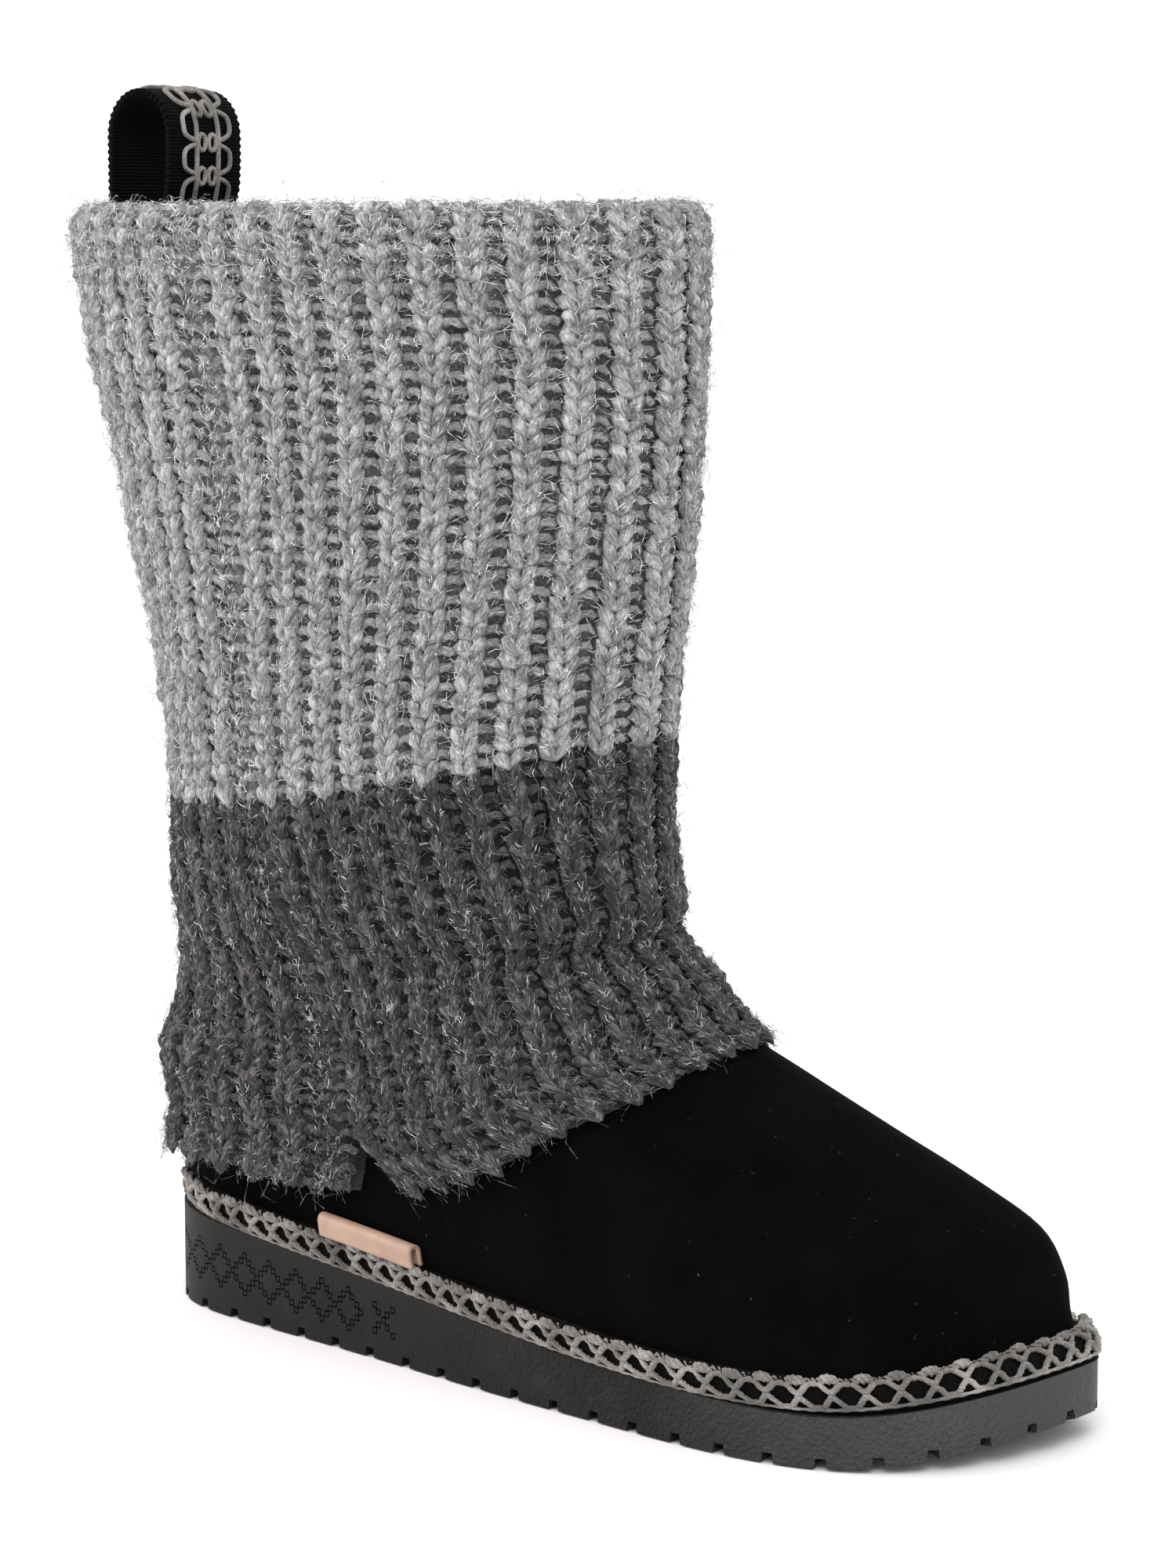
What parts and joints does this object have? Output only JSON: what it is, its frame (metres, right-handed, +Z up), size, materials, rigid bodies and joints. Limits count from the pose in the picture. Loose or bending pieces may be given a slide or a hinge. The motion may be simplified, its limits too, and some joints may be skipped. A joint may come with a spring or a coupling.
{
  "type": "mukluk boot",
  "caption": "Right-foot pull-on mukluk boot: dark suede-like foot, slouchy ribbed knit sleeve in two greys, braided trim, wedge rubber sole and a pull loop at the back.",
  "frame": {"origin": "on the floor under the sole's flat tread, halfway between the heel and the toe of the outsole, on the heel's middle line", "axes": "+X from heel to toe, +Y to the inner side of the right foot, +Z up"},
  "size_m": [0.3069, 0.1056, 0.3177],
  "materials": {
    "sole_rubber": "matt dark grey rubber, lightly grained",
    "footbed": "short dark fleece",
    "suede": "soft black suede-like cloth",
    "knit": "heathered wool-like rib knit, light grey over charcoal",
    "braid": "grey yarn chain on black",
    "tab_leather": "smooth pale leather, bare",
    "webbing": "black webbing with grey yarn pattern"
  },
  "bodies": {
    "root": {"outsole": "sole_rubber", "insole": "footbed", "upper": "suede", "knit_sleeve": "knit", "woven_trim": "braid", "side_tab": "tab_leather", "pull_loop": "webbing"}
  },
  "joints": []
}
